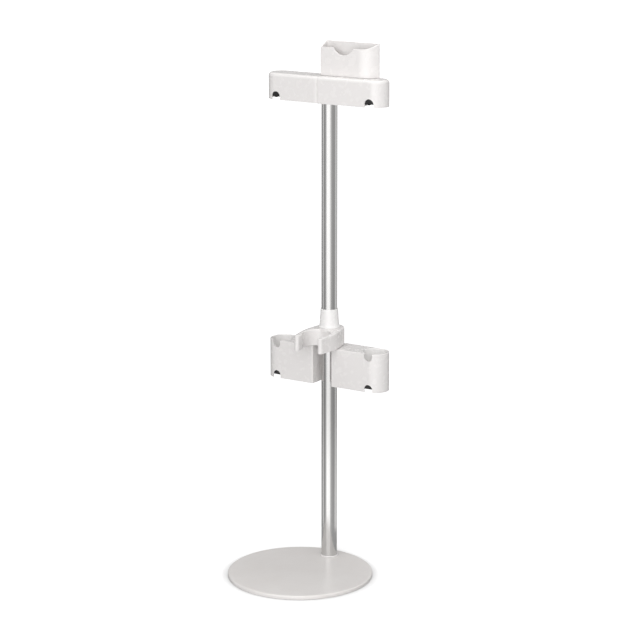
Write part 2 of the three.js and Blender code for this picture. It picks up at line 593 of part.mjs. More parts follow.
for (const [name, side] of [['left', -1], ['right', 1]]) {
  addPiece(onPole, `${name}_pod_shell`, podShell(side), whitePlastic);
  addPiece(onPole, `${name}_well_cup`, wellCup(side), whitePlastic);
  addPiece(onPole, `${name}_cable_sleeve`, cableSleeve(side), blackPlastic);
  addPiece(onPole, `${name}_hub_screw`, hubScrew(side), zincSteel);
  POD_SCREW_ZS.forEach((z, i) =>
    addPiece(onPole, `${name}_pod_screw_${i + 1}`, podScrew(side, z), zincSteel));
  addPiece(onPole, `head_${name}_shell`, headShell(side), whitePlastic);
  addPiece(onPole, `${name}_outlet_sleeve`, headSleeve(side), blackPlastic);
  addPiece(onPole, `${name}_charger_board`, chargerBoard(side), boardGreen);
  addPiece(onPole, `${name}_usb_socket`, usbSocket(side), zincSteel);
  addPiece(onPole, `${name}_grub_screw`, grubScrew(side), zincSteel);
  SHELL_SCREWS.forEach(([x, y], i) =>
    addPiece(onPole, `${name}_head_screw_${i + 1}`, headScrew(side * x, y), zincSteel));
  COVER_POSTS.forEach(([x, y], i) =>
    addPiece(onPole, `${name}_cover_screw_${i + 1}`, coverScrew(side * x, y), zincSteel));
  SPACERS.forEach(([x, y], i) =>
    addPiece(onPole, `${name}_board_spacer_${i + 1}`, boardSpacer(side * x, y), blackPlastic));
}

addPiece(onPole, 'head_chassis', headChassis(), zincSteel);
addPiece(onPole, 'head_bottom_cover', bottomCover(), whitePlastic);
addPiece(onPole, 'board_link_lead', linkLead(), blackRubber);
addPiece(onPole, 'pocket_shell', pocketShell(), whitePlastic);
addPiece(onPole, 'pocket_pad', pocketPad(), greyFelt);

export default kiosk;
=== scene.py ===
"""Looks of the phone charging kiosk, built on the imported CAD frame.

Shapes are worked out in millimetres; everything above the base is placed from the pole's axis.
Sections: mesh helpers, materials, base and pole, carriage and fork, pods, head, pocket, stage.
"""

import math

import bmesh
import bpy
from mathutils import Matrix, Vector


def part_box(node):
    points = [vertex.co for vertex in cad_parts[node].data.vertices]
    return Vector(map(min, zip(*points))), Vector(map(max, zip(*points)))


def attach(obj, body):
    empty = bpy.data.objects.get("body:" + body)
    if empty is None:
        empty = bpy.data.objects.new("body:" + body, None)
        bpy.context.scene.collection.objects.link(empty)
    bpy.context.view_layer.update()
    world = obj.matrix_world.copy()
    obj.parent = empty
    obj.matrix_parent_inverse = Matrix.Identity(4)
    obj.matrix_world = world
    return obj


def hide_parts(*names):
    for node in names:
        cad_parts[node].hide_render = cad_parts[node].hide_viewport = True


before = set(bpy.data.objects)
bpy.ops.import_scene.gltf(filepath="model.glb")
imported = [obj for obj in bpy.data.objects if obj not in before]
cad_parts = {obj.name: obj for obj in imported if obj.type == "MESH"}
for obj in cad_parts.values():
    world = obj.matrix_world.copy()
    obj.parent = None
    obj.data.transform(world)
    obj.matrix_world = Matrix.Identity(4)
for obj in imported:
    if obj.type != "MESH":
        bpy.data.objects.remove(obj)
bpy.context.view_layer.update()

MM = 0.001
SHARP_DEGREES = 38
POLE_LOW, POLE_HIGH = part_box("pole_upper_tube")
POLE_Y = (POLE_LOW.y + POLE_HIGH.y) / 2 / MM
POLE_R = (POLE_HIGH.x - POLE_LOW.x) / 2 / MM
POLE_SEAM = 600
POD_Y = -1
POD_END_X = 129
POD_END_R = 33.5
POD_BOTTOM, POD_TOP = (corner.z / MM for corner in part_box("right_pod_shell"))
HEAD_BOTTOM, HEAD_TOP = (corner.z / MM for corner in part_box("head_left_shell"))
HEAD_ENDS = {-1: -130.5, 1: 128.3}
HEAD_END_Y = -3.8
HEAD_END_R = 31.5
HEAD_SEAM = (-12, -38)
HEAD_ARCH_X = 127.8
HEAD_WALL = 2.6
COVER_LOW, COVER_TOP = 1131.5, 1133.5
COVER_SCREWS = ((32, -27), (101, 11))
POCKET_LEFT, POCKET_END = -20, 83
POCKET_PEGS = (8, 102)
PEG_Y = 5
BASE_R, BASE_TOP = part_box("base_plate")[1].x / MM, 10
PAD_CIRCLE = 150
BUSH_BOTTOM, BUSH_TOP = 542.5, 612
HUB_BOTTOM, HUB_SEAT = 546, 588.6
FORK_REAR_TOP, FORK_TIP_TOP = 588.4, 583
HUB_R = 36.3
FORK_TIP = (32.7, -92.5)
FORK_TIP_R = 6.5
CRADLE_Y, CRADLE_R = -59, 34
HUB_SCREW = (17, 24)
NOTCH_HALF, NOTCH_BOTTOM, ARCH_TOP = 10.5, 526.7, 469.5
WELL_FLOOR = 480
COLLAR_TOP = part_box("clamp_collar")[1].z / MM


# ---------------------------------------------------------------- mesh helpers
def rings_mesh(rings, wrap=False):
    """Quads between closed rings of (x, y, z); wrap joins the last ring to the first, else both are capped."""
    bm = bmesh.new()
    rows = [[bm.verts.new(p) for p in ring] for ring in rings]
    pairs = list(zip(rows, rows[1:])) + ([(rows[-1], rows[0])] if wrap else [])
    for low, high in pairs:
        for i in range(len(low)):
            k = (i + 1) % len(low)
            bm.faces.new((low[i], low[k], high[k], high[i]))
    if not wrap:
        bm.faces.new(rows[0][::-1])
        bm.faces.new(rows[-1])
    return cleaned(bm)


def cleaned(bm):
    bmesh.ops.remove_doubles(bm, verts=bm.verts[:], dist=1e-3)
    bmesh.ops.dissolve_degenerate(bm, dist=1e-4, edges=bm.edges[:])
    bmesh.ops.recalc_face_normals(bm, faces=bm.faces[:])
    return bm


def filleted(points, radii, steps=5, closed=True):
    """A polygon with its corners rounded: radii is one number or one per corner."""
    if not isinstance(radii, (list, tuple)):
        radii = [radii] * len(points)
    rounded = []
    count = len(points)
    for i, (point, radius) in enumerate(zip(points, radii)):
        if radius <= 0 or (not closed and i in (0, count - 1)):
            rounded.append(tuple(point))
            continue
        here = Vector(point)
        before = (Vector(points[i - 1]) - here).normalized()
        after = (Vector(points[(i + 1) % count]) - here).normalized()
        half = before.angle(after) / 2
        reach = radius / math.tan(half)
        centre = here + (before + after).normalized() * radius / math.sin(half)
        start, end = here + before * reach - centre, here + after * reach - centre
        turn = start.angle_signed(end)
        for k in range(steps + 1):
            step = start.copy()
            step.rotate(Matrix.Rotation(-turn * k / steps, 2))
            rounded.append(tuple(centre + step))
    return rounded


def lathe(profile, segments=96, at=(0, 0), along="Z", closed=True):
    """A profile of (radius, height) pairs turned about a vertical axis at x, y, or about a Y axis at x, z."""
    rings = []
    for radius, height in profile:
        ring = []
        for k in range(segments):
            angle = 2 * math.pi * k / segments
            u, v = radius * math.cos(angle), radius * math.sin(angle)
            if along == "Z":
                ring.append((at[0] + u, at[1] + v, height))
            else:
                ring.append((at[0] + u, height, at[1] + v))
        rings.append(ring)
    return rings_mesh(rings, wrap=closed)


def arc(cx, cy, radius, start, end, steps):
    """Points with their outward normals on an arc, in degrees."""
    found = []
    for k in range(steps + 1):
        angle = math.radians(start + (end - start) * k / steps)
        nx, ny = math.cos(angle), math.sin(angle)
        found.append((cx + radius * nx, cy + radius * ny, nx, ny))
    return found


def with_normals(points):
    """Outward unit normals for a counter-clockwise closed polygon, mitred so that offsets stay parallel."""
    found = []
    count = len(points)
    for i in range(count):
        p, q, r = Vector(points[i - 1]), Vector(points[i]), Vector(points[(i + 1) % count])
        a, b = (q - p).normalized(), (r - q).normalized()
        normal = Vector((a.y + b.y, -a.x - b.x))
        scale = max(0.5, 1 + a.dot(b))
        found.append((q.x, q.y, normal.x / scale, normal.y / scale))
    return found


def offset(outline, inset):
    return [(x - nx * inset, y - ny * inset) for x, y, nx, ny in outline]


def stacked(outline, levels):
    """Rings of an outline at (inset, z) levels."""
    return [[(x, y, z) for x, y in offset(outline, inset)] for inset, z in levels]


def quarter(inset, z, radius, steps=5):
    """(inset, z) levels that round an upper edge, from the wall at inset to the top at z."""
    turns = [math.pi / 2 * k / steps for k in range(steps + 1)]
    return [(inset + radius - radius * math.cos(t), z - radius + radius * math.sin(t)) for t in turns]


def prism(points, low, high, along="Z"):
    """A straight prism of (x, y) points, or of (x, z) points along Y."""
    if along == "Z":
        return rings_mesh([[(x, y, h) for x, y in points] for h in (low, high)])
    return rings_mesh([[(x, h, z) for x, z in points] for h in (low, high)])


def rod(radius, low, high, at=(0, 0), along="Z", segments=48):
    return lathe([(radius, low), (radius, high)], segments, at, along, closed=False)


def u_shape(x, half, round_z, open_z):
    """Outline in x, z of a slot with one round end at round_z, open towards open_z."""
    up = 1 if open_z > round_z else -1
    centre = round_z + up * half
    turns = [math.pi * k / 32 for k in range(33)]
    bend = [(x + half * math.cos(turn), centre - up * half * math.sin(turn)) for turn in turns]
    return [(x + half, open_z)] + bend + [(x - half, open_z)]


def as_object(name, bm, shift_y=0.0):
    mesh = bpy.data.meshes.new(name)
    bmesh.ops.transform(bm, matrix=Matrix.Translation((0, shift_y, 0)), verts=bm.verts[:])
    bmesh.ops.scale(bm, vec=(MM, MM, MM), verts=bm.verts[:])
    bm.to_mesh(mesh)
    bm.free()
    made = bpy.data.objects.new(name, mesh)
    bpy.context.scene.collection.objects.link(made)
    return made


def applied(made):
    """Bakes an object's modifiers into its mesh."""
    graph = bpy.context.evaluated_depsgraph_get()
    graph.update()
    mesh = bpy.data.meshes.new_from_object(made.evaluated_get(graph))
    made.modifiers.clear()
    old, made.data = made.data, mesh
    mesh.name = made.name
    bpy.data.meshes.remove(old)
    return made


def combined(bm, cutters=(), additions=()):
    """Boolean joins, then cuts, on a bmesh in millimetres; returns a new bmesh."""
    made = as_object("shaping", bm)
    helpers = []
    for operation, parts in (("UNION", additions), ("DIFFERENCE", cutters)):
        for part in parts:
            helper = as_object("helper", part)
            helpers.append(helper)
            step = made.modifiers.new("shape", "BOOLEAN")
            step.operation, step.object, step.solver = operation, helper, "EXACT"
    applied(made)
    result = bmesh.new()
    result.from_mesh(made.data)
    bmesh.ops.scale(result, vec=(1 / MM, 1 / MM, 1 / MM), verts=result.verts[:])
    bmesh.ops.remove_doubles(result, verts=result.verts[:], dist=2e-3)
    for helper in helpers + [made]:
        mesh = helper.data
        bpy.data.objects.remove(helper)
        bpy.data.meshes.remove(mesh)
    return result


def piece(name, bm, body, slot, nodes, bevel=0.0, shift_y=POLE_Y, limit=40, look=None):
    """Finishes a bmesh as a piece: worn-in edge radii, smooth shading, material, body and replaced nodes.

    look names a material other than the slot's own.
    """
    made = as_object(name, bm, shift_y)
    if bevel:
        step = made.modifiers.new("edges", "BEVEL")
        step.width, step.segments, step.limit_method = bevel * MM, 2, "ANGLE"
        step.angle_limit, step.use_clamp_overlap = math.radians(limit), True
        step.miter_outer = "MITER_ARC"
    made.data.polygons.foreach_set("use_smooth", [True] * len(made.data.polygons))
    made.data.set_sharp_from_angle(angle=math.radians(SHARP_DEGREES))
    step = made.modifiers.new("normals", "WEIGHTED_NORMAL")
    step.keep_sharp = True
    applied(made)
    made.data.materials.clear()
    made.data.materials.append(MATERIALS[look or slot])
    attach(made, body)
    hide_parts(*nodes)
    return made


def merged(*parts):
    """Several bodies in one bmesh."""
    whole = bmesh.new()
    for part in parts:
        mesh = bpy.data.meshes.new("part")
        part.to_mesh(mesh)
        part.free()
        whole.from_mesh(mesh)
        bpy.data.meshes.remove(mesh)
    return whole


# ---------------------------------------------------------------- materials
class Nodes:
    """A short way to build one procedural material from object-space patterns."""

    def __init__(self, name):
        self.material = bpy.data.materials.new(name)
        self.material.use_nodes = True
        self.tree = self.material.node_tree
        self.shader = self.tree.nodes["Principled BSDF"]
        self.place = self.tree.nodes.new("ShaderNodeTexCoord").outputs["Object"]

    def link(self, source, target):
        self.tree.links.new(source, target)

    def noise(self, scale, detail=3.0, stretch=None):
        """Noise with features about 1/scale metres across; stretch scales each axis."""
        node = self.tree.nodes.new("ShaderNodeTexNoise")
        node.inputs["Scale"].default_value = scale
        node.inputs["Detail"].default_value = detail
        place = self.place
        if stretch:
            mapping = self.tree.nodes.new("ShaderNodeMapping")
            mapping.inputs["Scale"].default_value = stretch
            self.link(self.place, mapping.inputs["Vector"])
            place = mapping.outputs["Vector"]
        self.link(place, node.inputs["Vector"])
        return node.outputs["Fac"]

    def spread(self, source, low, high, from_low=0.3, from_high=0.7):
        node = self.tree.nodes.new("ShaderNodeMapRange")
        for key, value in (("From Min", from_low), ("From Max", from_high), ("To Min", low), ("To Max", high)):
            node.inputs[key].default_value = value
        self.link(source, node.inputs["Value"])
        return node.outputs["Result"]

    def tint(self, source, low, high):
        """Base colour that wanders between two colours."""
        ramp = self.tree.nodes.new("ShaderNodeValToRGB")
        ramp.color_ramp.elements[0].position, ramp.color_ramp.elements[1].position = 0.3, 0.7
        ramp.color_ramp.elements[0].color = (*low, 1)
        ramp.color_ramp.elements[1].color = (*high, 1)
        self.link(source, ramp.inputs["Fac"])
        self.link(ramp.outputs["Color"], self.shader.inputs["Base Color"])

    def roughness(self, source, low, high):
        self.link(self.spread(source, low, high), self.shader.inputs["Roughness"])

    def bumps(self, *layers):
        """Layers of (height source, depth in metres)."""
        normal = None
        for source, depth in layers:
            node = self.tree.nodes.new("ShaderNodeBump")
            node.inputs["Distance"].default_value = depth
            self.link(source, node.inputs["Height"])
            if normal:
                self.link(normal, node.inputs["Normal"])
            normal = node.outputs["Normal"]
        self.link(normal, self.shader.inputs["Normal"])

    def set(self, **values):
        for key, value in values.items():
            self.shader.inputs[key.replace("_", " ")].default_value = value
        return self.material


def white_plastic(name, low, high):
    m = Nodes(name)
    m.tint(m.noise(6, 3), low, high)
    m.roughness(m.noise(70, 4), 0.22, 0.3)
    m.bumps((m.noise(2600, 2), 0.000016), (m.noise(60, 2), 0.000012))
    return m.set(Coat_Weight=0.12, Coat_Roughness=0.12, Specular_IOR_Level=0.5)


def base_paint():
    m = Nodes("base_paint")
    m.tint(m.noise(14, 4), (0.80, 0.768, 0.748), (0.828, 0.80, 0.782))
    m.roughness(m.noise(90, 5), 0.3, 0.46)
    m.bumps((m.noise(1400, 3), 0.00003), (m.noise(90, 2), 0.00002))
    return m.set(Coat_Weight=0.25, Coat_Roughness=0.18)


def pole_steel():
    m = Nodes("pole_steel")
    streaks = m.noise(1.0, 5, (2600, 2600, 5))
    m.tint(m.noise(1.0, 4, (700, 700, 2.5)), (0.63, 0.625, 0.62), (0.73, 0.725, 0.715))
    m.roughness(streaks, 0.14, 0.25)
    m.bumps((streaks, 0.000008))
    return m.set(Metallic=1.0)


def zinc_steel():
    m = Nodes("zinc_steel")
    m.tint(m.noise(420, 5), (0.5, 0.51, 0.53), (0.66, 0.67, 0.68))
    m.roughness(m.noise(800, 4), 0.26, 0.46)
    m.bumps((m.noise(1900, 3), 0.00003))
    return m.set(Metallic=1.0)


def black_plastic():
    m = Nodes("black_plastic")
    m.tint(m.noise(60, 4), (0.014, 0.014, 0.015), (0.026, 0.025, 0.025))
    m.roughness(m.noise(500, 4), 0.38, 0.58)
    m.bumps((m.noise(2200, 3), 0.00005))
    return m.set(Specular_IOR_Level=0.4)


def black_rubber():
    m = Nodes("black_rubber")
    m.tint(m.noise(40, 5), (0.018, 0.018, 0.018), (0.04, 0.039, 0.037))
    m.roughness(m.noise(300, 4), 0.7, 0.92)
    m.bumps((m.noise(1300, 4), 0.00009))
    return m.set(Specular_IOR_Level=0.3)


def board_green():
    m = Nodes("board_green")
    m.tint(m.noise(1.0, 2, (260, 900, 260)), (0.012, 0.10, 0.045), (0.03, 0.2, 0.09))
    m.roughness(m.noise(260, 3), 0.3, 0.5)
    m.bumps((m.noise(1.0, 1, (300, 1000, 300)), 0.00006))
    return m.set(Coat_Weight=0.2)


def grey_felt():
    m = Nodes("grey_felt")
    fibre = m.noise(1700, 6)
    m.tint(m.noise(800, 6), (0.19, 0.19, 0.185), (0.38, 0.378, 0.37))
    m.roughness(fibre, 0.85, 1.0)
    m.bumps((fibre, 0.0004), (m.noise(260, 3), 0.0003))
    return m.set(Sheen_Weight=0.35, Specular_IOR_Level=0.2)


MATERIALS = {
    "white_plastic": white_plastic("white_plastic", (0.812, 0.787, 0.777), (0.828, 0.806, 0.796)),
    # painted_light_plastic is the white plastic painted lighter: painted light, a lit copy of the same plastic.
    "painted_light_plastic": white_plastic("painted_light_plastic", (0.875, 0.86, 0.85), (0.89, 0.877, 0.867)),
    "base_paint": base_paint(), "pole_steel": pole_steel(),
    "zinc_steel": zinc_steel(), "black_plastic": black_plastic(), "black_rubber": black_rubber(),
    "board_green": board_green(), "grey_felt": grey_felt(),
}
CAD_LOOKS = {
    "zinc_steel": ("base_", "pole_bottom_plug", "pole_joint_spigot", "left_hub", "right_hub", "left_pod_screw",
                   "right_pod_screw", "left_grub", "right_grub", "left_head", "right_head", "left_usb", "right_usb",
                   "head_chassis", "left_cover", "right_cover"),
    "black_rubber": ("pole_harness", "board_link_lead"),
    "black_plastic": ("left_board", "right_board", "power_inlet", "carriage_bush"),
    "board_green": ("left_charger", "right_charger"),
}
for node_name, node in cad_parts.items():
    found = [slot for slot, starts in CAD_LOOKS.items() if node_name.startswith(starts)]
    node.data.materials.clear()
    node.data.materials.append(MATERIALS[found[0] if found else "white_plastic"])


# ---------------------------------------------------------------- base and pole
def hex_socket(radius, low, high, at):
    return rod(radius, low, high, at, segments=6)


def build_base():
    edge = filleted([(0, 0.8), (BASE_R, 0.8), (BASE_R, BASE_TOP), (0, BASE_TOP)], [0, 0.9, 4, 0], 12)
    inner = [(r, BASE_TOP) for r in (150, 110, 60, 20)]
    disc = lathe(edge[:-1] + inner + edge[-1:], 256, closed=False)
    turns = [math.radians(degrees) for degrees in (45, 135, 225, 315)]
    places = [(PAD_CIRCLE * math.cos(turn), PAD_CIRCLE * math.sin(turn)) for turn in turns]
    cutters = [rod(16.3, -1, 2.3, at, segments=72) for at in places]
    cutters += [rod(4.4, -1, 12, (0, POLE_Y)), rod(12, -1, 7.3, (0, POLE_Y), segments=64)]
    piece("base_disc", combined(disc, cutters), "stand", "base_paint", ["base_plate"], bevel=0.25, shift_y=0,
          limit=50)
    grip = []
    for r in [2 + 2.6 * k for k in range(5)]:
        grip += [(r, 0), (r + 0.9, 0), (r + 1.2, 0.5), (r + 2.3, 0.5)]
    section = [(0, 2), (0, 0)] + grip + filleted([(14.9, 0), (16, 0), (16, 2)], 0.35, 4, False)
    for number, at in enumerate(places, 1):
        piece(f"foot_pad_{number}", lathe(section[::-1], 64, at, closed=False), "stand", "black_rubber",
              [f"anti_slip_pad_{number}"], shift_y=0)


def build_pole():
    r = POLE_R
    ring = filleted([(r + 0.3, 10.3), (22, 10.3), (22, 12.1), (20.6, 13.5), (r + 0.3, 13.5)],
                    [0.1, 0.3, 0.8, 0.8, 0.2])
    piece("foot_ring", lathe(ring, 96), "stand", "white_plastic", ["pole_foot_ring"])
    for name, node, low, high in (("tube_lower", "pole_lower_tube", 10.3, POLE_SEAM - 0.15),
                                  ("tube_upper", "pole_upper_tube", POLE_SEAM + 0.15, 1171.5)):
        wall = filleted([(r - 1.5, low), (r, low), (r, high), (r - 1.5, high)], 0.35, 4)
        piece(name, lathe(wall, 160), "stand", "pole_steel", [node])
    head = filleted([(0, 2.1), (6.5, 2.1), (6.5, 5.5), (3.7, 5.5), (3.7, 27), (0, 27)], [0, 0.7, 0.2, 0.1, 0.6, 0], 4)
    bolt = combined(lathe(head, 48, closed=False), [hex_socket(2.6, 1, 4, (0, 0))])
    piece("foundation_bolt", bolt, "stand", "zinc_steel", ["base_bolt"], bevel=0.12)
    washer = filleted([(4.4, 5.8), (11, 5.8), (11, 7), (4.4, 7)], 0.25, 3)
    piece("foundation_washer", lathe(washer, 64), "stand", "zinc_steel", ["base_washer"])
    barrel = filleted([(0, 3), (5.9, 3), (5.9, r + 0.45), (8, r + 0.45), (8, r + 3.2), (2.8, r + 3.2), (2.8, 15),
                       (1.1, 15), (1.1, r + 2), (0, r + 2)], [0, 0.5, 0.1, 0.2, 1.0, 0.6, 0.2, 0.1, 0.5, 0], 4)
    piece("inlet_socket", lathe(barrel, 48, (0, 46), "Y", closed=False), "stand", "black_plastic", ["power_inlet"])


# ---------------------------------------------------------------- carriage, collar and fork
def build_carriage():
    r = POLE_R + 0.3
    body = filleted([(r, BUSH_BOTTOM), (25, BUSH_BOTTOM), (25, HUB_BOTTOM - 0.4), (22, HUB_BOTTOM - 0.4),
                     (22, HUB_SEAT - 0.2), (20.9, HUB_SEAT + 0.9), (19.9, BUSH_TOP), (r, BUSH_TOP)],
                    [0.4, 0.9, 0.6, 0.2, 0.5, 0.3, 0.2, 0.1], 4)
    slots = []
    for degrees in (45, 135):
        slot = prism([(-30, -0.8), (30, -0.8), (30, 0.8), (-30, 0.8)], BUSH_TOP - 20, BUSH_TOP + 2)
        bmesh.ops.rotate(slot, matrix=Matrix.Rotation(math.radians(degrees), 3, "Z"), verts=slot.verts[:])
        slots.append(slot)
    piece("bush_sleeve", combined(lathe(body, 96), slots), "carriage", "black_plastic", ["carriage_bush"], limit=50)
    low, top = HUB_SEAT + 0.3, COLLAR_TOP
    collar = filleted([(22.2, low), (26, low), (25.6, low + 1.7), (23.6, low + 4.3), (20.9, top - 0.8), (20.3, top),
                       (r, top), (r, top - 5), (20.3, BUSH_TOP + 1), (21.9, low + 3.1)],
                      [0.2, 0.35, 1.4, 4, 0.5, 0.3, 0.15, 0.2, 1, 1], 6)
    # The collar is drawn in the lighter copy of the white plastic: painted light.
    piece("twist_collar", lathe(collar, 128), "collar", "white_plastic", ["clamp_collar"],
          look="painted_light_plastic")


def spline(points, per_span):
    """Catmull-Rom through points, as the CAD draws it."""
    ends = [2 * Vector(points[0]) - Vector(points[1])] + [Vector(p) for p in points]
    ends.append(2 * Vector(points[-1]) - Vector(points[-2]))
    found = []
    for i in range(1, len(ends) - 2):
        p0, p1, p2, p3 = ends[i - 1:i + 3]
        for k in range(per_span):
            t = k / per_span
            found.append(tuple(0.5 * ((2 * p1) + (p2 - p0) * t + (2 * p0 - 5 * p1 + 4 * p2 - p3) * t * t
                                      + (3 * p1 - p0 - 3 * p2 + p3) * t ** 3)))
    return found + [tuple(points[-1])]


def points_of(outline):
    return [(x, y) for x, y, _, _ in outline]


def fork_outline():
    cheek = spline([(HUB_R, 0), (39.8, -13), (43.6, -38), (43.6, -55), (41.6, -71), (39.8, -85)], 8)
    tip = points_of(arc(*FORK_TIP, FORK_TIP_R, 0, -180, 24))
    mouth = math.degrees(math.acos((FORK_TIP[0] - FORK_TIP_R) / CRADLE_R))
    cradle = points_of(arc(0, CRADLE_Y, CRADLE_R, -mouth, 90, 40))
    lip = filleted([tip[-1], cradle[0], cradle[4]], [0, 4.5, 0], 6, closed=False)[1:-1]
    hub = points_of(arc(0, 0, HUB_R, 90, 4, 30))
    right = hub + cheek + tip + lip + cradle[4:]
    left = [(-x, y) for x, y in right[1:-1][::-1]]
    return with_normals((right + left)[::-1])


def fork_top(y):
    """The fork's top falls gently from the hub to the tips."""
    fall = (FORK_REAR_TOP - FORK_TIP_TOP) / (HUB_R - FORK_TIP[1] + FORK_TIP_R)
    return FORK_REAR_TOP - fall * (HUB_R - y)


def hub_rods(radius, low, high, segments):
    """A rod at each of the two hub screws."""
    return [rod(radius, low, high, (side * HUB_SCREW[0], HUB_SCREW[1]), segments=segments) for side in (-1, 1)]


def build_fork():
    low = HUB_BOTTOM
    levels = [(0.6, low), (0.15, low + 0.15), (0, low + 0.6), (0, 560), (0, 575)] + quarter(0, FORK_REAR_TOP, 2.6, 7)
    rings = []
    for ring in stacked(fork_outline(), levels):
        rings.append([(x, y, low + (z - low) * (fork_top(y) - low) / (FORK_REAR_TOP - low)) for x, y, z in ring])
    body = rings_mesh(rings)
    ceiling = FORK_TIP_TOP - 2.6
    crescent = combined(lathe([(24.9, 545), (33.7, 545), (33.7, ceiling), (24.9, ceiling)], 96),
                        [rod(CRADLE_R + 2.6, 500, 600, (0, CRADLE_Y), segments=96)] + hub_rods(4.5, 500, 600, 32))
    seat = lathe(filleted([(0, 580), (27, 580), (27, HUB_SEAT), (0, HUB_SEAT)], [0, 0, 0.5, 0], 4), 96, closed=False)
    cutters = [crescent, rod(22.3, 540, 600, segments=96)] + hub_rods(1.9, 540, 566, 24)
    piece("fork_cradle", combined(body, cutters, [seat]), "cradle", "white_plastic", ["fork_bracket"], bevel=0.3)


def build_yoke():
    corners = filleted([(-25.4, 6), (25.4, 6), (25.4, 30), (-25.4, 30)], [0.6, 0.6, 4, 4], 8)
    block = prism(corners, 470, HUB_BOTTOM - 0.3)
    cutters = [rod(19.8, 460, 550, segments=96), rod(25.6, 541.5, 550, segments=96)]
    cutters += hub_rods(4, 460, 530, 32) + hub_rods(2.3, 520, 550, 24)
    piece("pod_bridge", combined(block, cutters), "cradle", "white_plastic", ["pod_yoke"], bevel=0.6)


# ---------------------------------------------------------------- pods
def pod_outline():
    front, back = POD_Y - POD_END_R, POD_Y + POD_END_R
    return (arc(28.8, front + 3, 3, 180, 270, 8) + arc(POD_END_X, POD_Y, POD_END_R, -90, 90, 72)
            + arc(28.8, back - 3, 3, 90, 180, 8))


def on_side(bm, side):
    """A body built on the right, mirrored to the left for side -1."""
    if side < 0:
        bmesh.ops.scale(bm, vec=(-1, 1, 1), verts=bm.verts[:])
        bmesh.ops.reverse_faces(bm, faces=bm.faces[:])
    return bm


def build_pod(word, side):
    outline, x = pod_outline(), POD_END_X
    low = POD_BOTTOM
    levels = [(2.4, POD_TOP - 2.4), (2.4, low), (0.6, low), (0.15, low + 0.15), (0, low + 0.6)]
    levels += quarter(0, POD_TOP, 1.5, 6)
    shell = rings_mesh(stacked(outline, levels))
    cutters = [
        lathe([(0, 541.5), (31, 541.5), (31, 543), (32.2, 543), (32.2, 550), (0, 550)], 144, (x, POD_Y),
              closed=False),
        prism(u_shape(x, NOTCH_HALF, NOTCH_BOTTOM, 550), -45, -20, "Y"),
        prism(u_shape(x, NOTCH_HALF, ARCH_TOP, 440), -45, -29.5, "Y")]
    piece(f"{word}_pod", on_side(combined(shell, cutters), side), "cradle", "white_plastic",
          [f"{word}_pod_shell"], bevel=0.45)
    cup = filleted([(0, WELL_FLOOR), (30.8, WELL_FLOOR), (30.8, 543.3), (31.9, 543.3), (31.9, POD_TOP),
                    (29.6, POD_TOP), (29.3, WELL_FLOOR + 2), (0, WELL_FLOOR + 2)],
                   [0, 1, 0.3, 0.3, 0.7, 1.2, 2.5, 0], 6)
    notch = prism(u_shape(x, NOTCH_HALF, NOTCH_BOTTOM, 550), -45, -20, "Y")
    cup = combined(lathe(cup, 144, (x, POD_Y), closed=False), [notch])
    # The well cups are drawn in the lighter copy of the white plastic: painted light on the insides of the wells.
    piece(f"{word}_well", on_side(cup, side), "cradle", "white_plastic",
          [f"{word}_well_cup"], bevel=0.3, look="painted_light_plastic")
    sleeve = sleeve_body(outline, x, 2.7, -14, POD_BOTTOM + 8, 15)
    piece(f"{word}_pod_sleeve", on_side(sleeve, side), "cradle", "black_plastic", [f"{word}_cable_sleeve"], bevel=0.5)


def sleeve_body(outline, centre, inset, back, low, height, side=1):
    """The block that fills the upper part of an arch from behind, following the wall's inside."""
    front = [(x, y) for x, y in offset(outline, inset) if abs(x - centre) < 14 and y < 0]
    front.sort()
    ends = [(centre - 14, front[0][1]), *front, (centre + 14, front[-1][1])]
    ends += [(centre + 14, back), (centre - 14, back)]
    return prism([(side * x, y) for x, y in ends], low, low + height)


# ---------------------------------------------------------------- head
def head_station(side, x):
    """Front and back outline points at x, with outward normals; x is on the straight part."""
    reach = HEAD_ENDS[side]
    end_front = HEAD_END_Y - HEAD_END_R
    share = (x - HEAD_SEAM[0]) / (reach - HEAD_SEAM[0])
    slope = (end_front - HEAD_SEAM[1]) / (reach - HEAD_SEAM[0])
    length = math.hypot(1, slope)
    front = (x, HEAD_SEAM[1] + share * (end_front - HEAD_SEAM[1]), slope / length, -1 / length)
    return front, (x, HEAD_END_Y + HEAD_END_R, 0, 1)


def head_stations(side):
    """(front, back, distance from the seam) from the seam to the rounded end."""
    found = []
    seam = HEAD_SEAM[0] + side * 0.2
    reach = HEAD_ENDS[side]
    near = [0, 0.2, 0.5, 0.95, 1.5, 2.2, 3.1, 4, 5.4, 7, 9.2, 12]
    far = [abs(reach - seam) * k / 10 for k in range(2, 11)]
    for distance in near + far:
        front, back = head_station(side, seam + side * distance)
        found.append((front, back, distance))
    for k in range(1, 37):
        angle = math.radians(90 - 2.5 * k)
        nx, ny = side * math.cos(angle), math.sin(angle)
        x, y = reach + HEAD_END_R * nx, HEAD_END_R * ny
        found.append(((x, HEAD_END_Y - y, nx, -ny), (x, HEAD_END_Y + y, nx, ny), 100))
    return found


def seam_round(side, distance):
    """How far the outer skin falls away beside the seam: a wide soft edge meets a tight one."""
    width, depth = (11, 2.1) if side < 0 else (4, 1.2)
    if distance >= width:
        return 0.0
    return depth * (1 - math.sqrt(1 - (1 - distance / width) ** 2))


